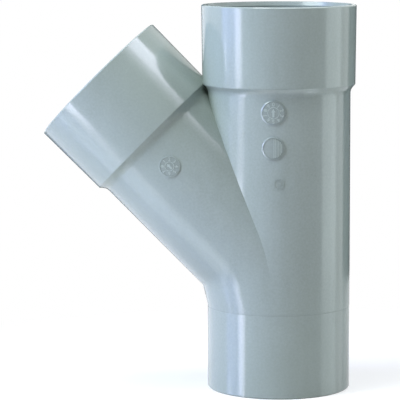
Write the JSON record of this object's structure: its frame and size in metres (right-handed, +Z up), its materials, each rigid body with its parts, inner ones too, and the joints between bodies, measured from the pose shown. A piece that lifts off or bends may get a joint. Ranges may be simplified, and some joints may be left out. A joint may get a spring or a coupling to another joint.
{
  "type": "lateral wye fitting",
  "caption": "Moulded plastic drain fitting: a straight run with a socket above and a spigot below, and an equal socketed branch leaving it at 45 degrees.",
  "frame": {"origin": "centre of the spigot's end, where the fitting stands", "axes": "+Z up the run from the spigot to the run's socket; -X the side that the branch leans to; -Y the front, with the raised pads"},
  "size_m": [0.2416, 0.1192, 0.297],
  "materials": {
    "upvc": "light blue-grey moulded uPVC with a soft gloss"
  },
  "bodies": {
    "root": {"wye_body": "upvc"}
  },
  "joints": []
}
